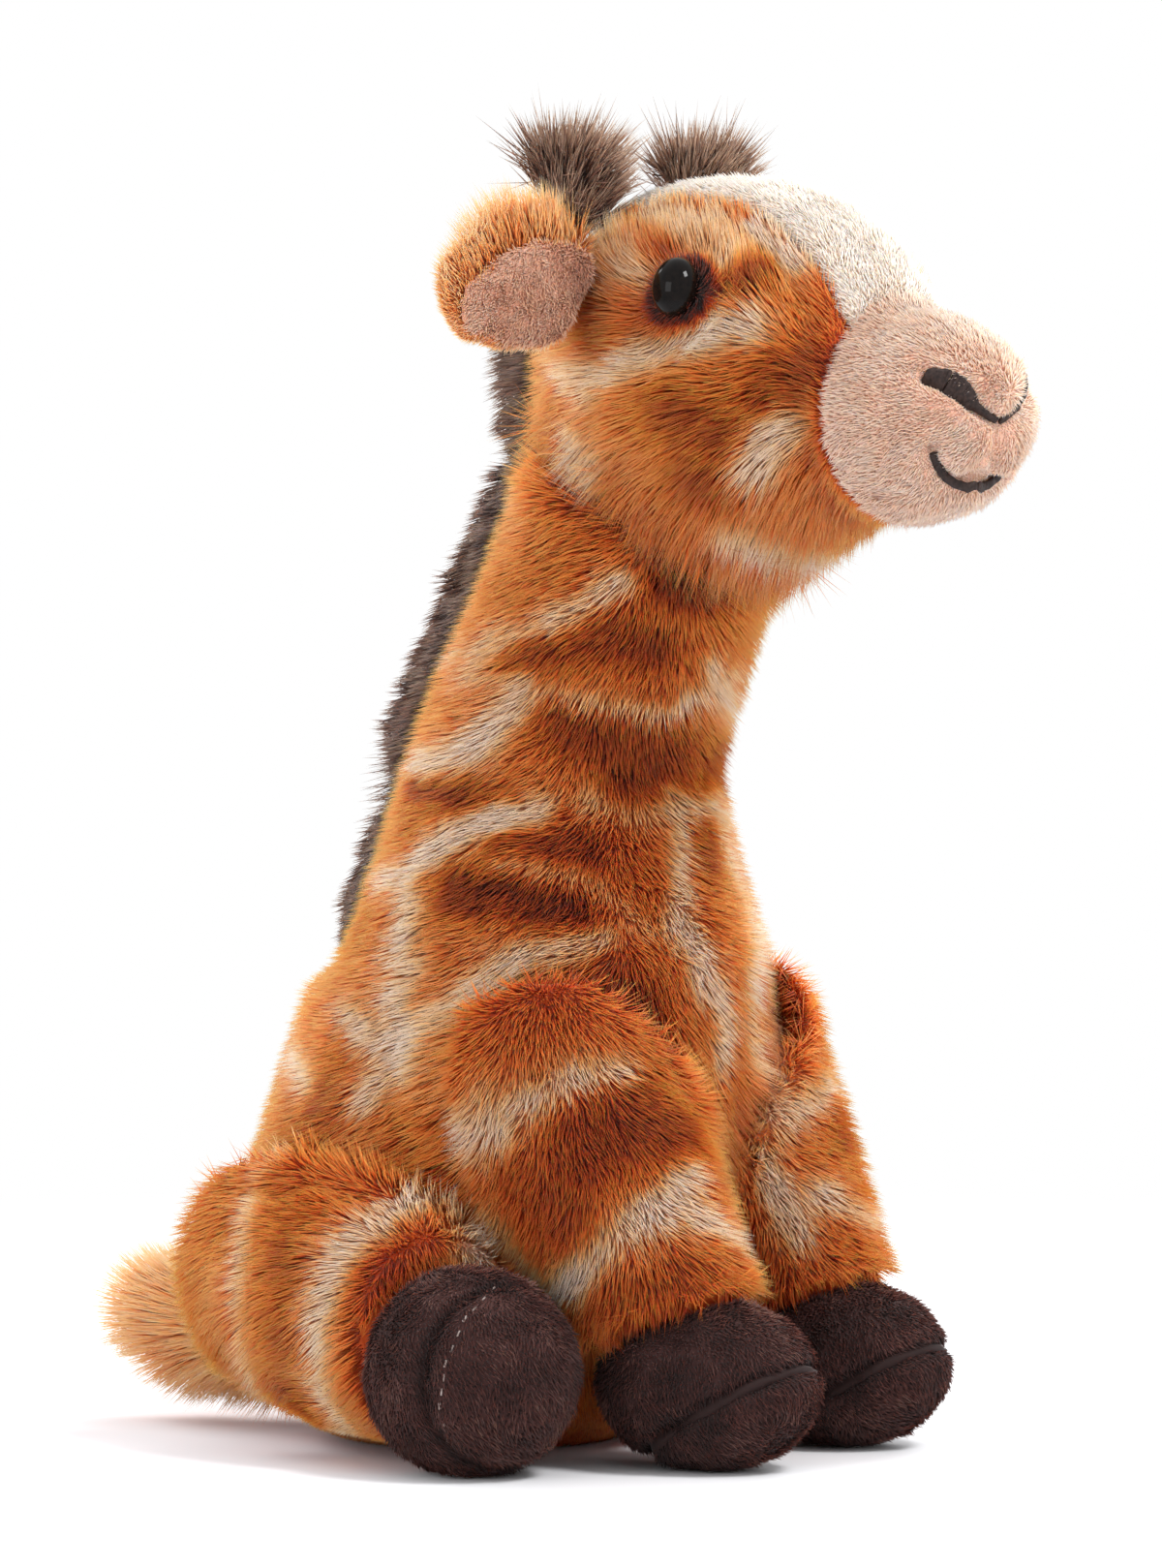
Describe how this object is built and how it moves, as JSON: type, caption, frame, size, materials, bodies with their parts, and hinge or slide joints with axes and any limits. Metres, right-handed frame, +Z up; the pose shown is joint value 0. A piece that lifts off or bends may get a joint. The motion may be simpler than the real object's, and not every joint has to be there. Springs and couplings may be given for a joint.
{
  "type": "plush giraffe",
  "caption": "Sitting stuffed giraffe toy of patterned pile fabric, with a neck that bends, a head that turns, and sewn-on legs, ears and tail that swing.",
  "frame": {"origin": "on the floor under the middle of the whole toy", "axes": "+Z up, -Y the way the animal sits facing, +X its own left side"},
  "size_m": [0.1624, 0.2226, 0.273],
  "materials": {
    "printed_pile": "long printed pile, orange and brown patches with pale lines",
    "dark_pile": "long dark brown pile",
    "cream_pile": "short cream pile",
    "beige_pile": "short pinkish beige pile",
    "mauve_pile": "short mauve beige pile",
    "hoof_pile": "short dark chocolate pile",
    "stuffing": "loose polyester fibre",
    "pellet_cloth": "woven bag of plastic pellets",
    "black_plastic": "polished black",
    "white_plastic": "moulded natural"
  },
  "bodies": {
    "torso": {"torso_skin": "printed_pile", "seat_panel": "printed_pile", "torso_stuffing": "stuffing", "pellet_bag": "pellet_cloth", "mane_torso": "dark_pile"},
    "neck": {"neck_skin": "printed_pile", "neck_stuffing": "stuffing", "mane_neck": "dark_pile"},
    "head": {"head_skin": "printed_pile", "forehead_panel": "cream_pile", "muzzle_skin": "beige_pile", "head_stuffing": "stuffing", "eye_right": "black_plastic", "eye_left": "black_plastic", "eye_washer_right": "white_plastic", "eye_washer_left": "white_plastic", "horn_tuft_right": "dark_pile", "horn_tuft_left": "dark_pile", "mane_head": "dark_pile"},
    "tail": {"tail_skin": "printed_pile", "tail_stuffing": "stuffing"},
    "ear_right": {"ear_back_right": "printed_pile", "ear_lining_right": "mauve_pile"},
    "front_leg_right": {"front_leg_skin_right": "printed_pile", "front_leg_stuffing_right": "stuffing", "front_hoof_upper_right": "hoof_pile", "front_hoof_sole_right": "hoof_pile"},
    "hind_leg_right": {"hind_leg_skin_right": "printed_pile", "hind_leg_stuffing_right": "stuffing", "hind_hoof_upper_right": "hoof_pile", "hind_hoof_sole_right": "hoof_pile"},
    "ear_left": {"ear_back_left": "printed_pile", "ear_lining_left": "mauve_pile"},
    "front_leg_left": {"front_leg_skin_left": "printed_pile", "front_leg_stuffing_left": "stuffing", "front_hoof_upper_left": "hoof_pile", "front_hoof_sole_left": "hoof_pile"},
    "hind_leg_left": {"hind_leg_skin_left": "printed_pile", "hind_leg_stuffing_left": "stuffing", "hind_hoof_upper_left": "hoof_pile", "hind_hoof_sole_left": "hoof_pile"}
  },
  "joints": [
    {"name": "neck_bend", "type": "hinge", "parent": "torso", "child": "neck", "pos_m": [0, 0.00297, 0.097], "axis": [1, 0, 0], "range_deg": [-10, 10], "stiffness_Nm_per_rad": 1.2},
    {"name": "head_turn", "type": "hinge", "parent": "neck", "child": "head", "pos_m": [0, -0.01053, 0.167], "axis": [0, -0.3896, 0.921], "range_deg": [-30, 30], "stiffness_Nm_per_rad": 0.3},
    {"name": "ear_right_flap", "type": "hinge", "parent": "head", "child": "ear_right", "pos_m": [-0.02459, -0.01979, 0.236], "axis": [0.1564, 0.9877, 0], "range_deg": [-20, 20], "stiffness_Nm_per_rad": 0.02},
    {"name": "front_leg_right_swing", "type": "hinge", "parent": "torso", "child": "front_leg_right", "pos_m": [-0.028, -0.01253, 0.084], "axis": [-1, 0, 0], "range_deg": [0, 40], "stiffness_Nm_per_rad": 0.2},
    {"name": "hind_leg_right_splay", "type": "hinge", "parent": "torso", "child": "hind_leg_right", "pos_m": [-0.036, 0.03247, 0.03], "axis": [0, 0, -1], "range_deg": [0, 25], "stiffness_Nm_per_rad": 0.2},
    {"name": "ear_left_flap", "type": "hinge", "parent": "head", "child": "ear_left", "pos_m": [0.02084, -0.02698, 0.236], "axis": [-0.1564, -0.9877, 0], "range_deg": [-20, 20], "stiffness_Nm_per_rad": 0.02},
    {"name": "front_leg_left_swing", "type": "hinge", "parent": "torso", "child": "front_leg_left", "pos_m": [0.028, -0.01253, 0.084], "axis": [-1, 0, 0], "range_deg": [0, 40], "stiffness_Nm_per_rad": 0.2},
    {"name": "hind_leg_left_splay", "type": "hinge", "parent": "torso", "child": "hind_leg_left", "pos_m": [0.036, 0.03247, 0.03], "axis": [0, 0, 1], "range_deg": [0, 25], "stiffness_Nm_per_rad": 0.2},
    {"name": "tail_wag", "type": "hinge", "parent": "torso", "child": "tail", "pos_m": [0, 0.06447, 0.022], "axis": [0, 0, 1], "range_deg": [-25, 25], "stiffness_Nm_per_rad": 0.05}
  ]
}
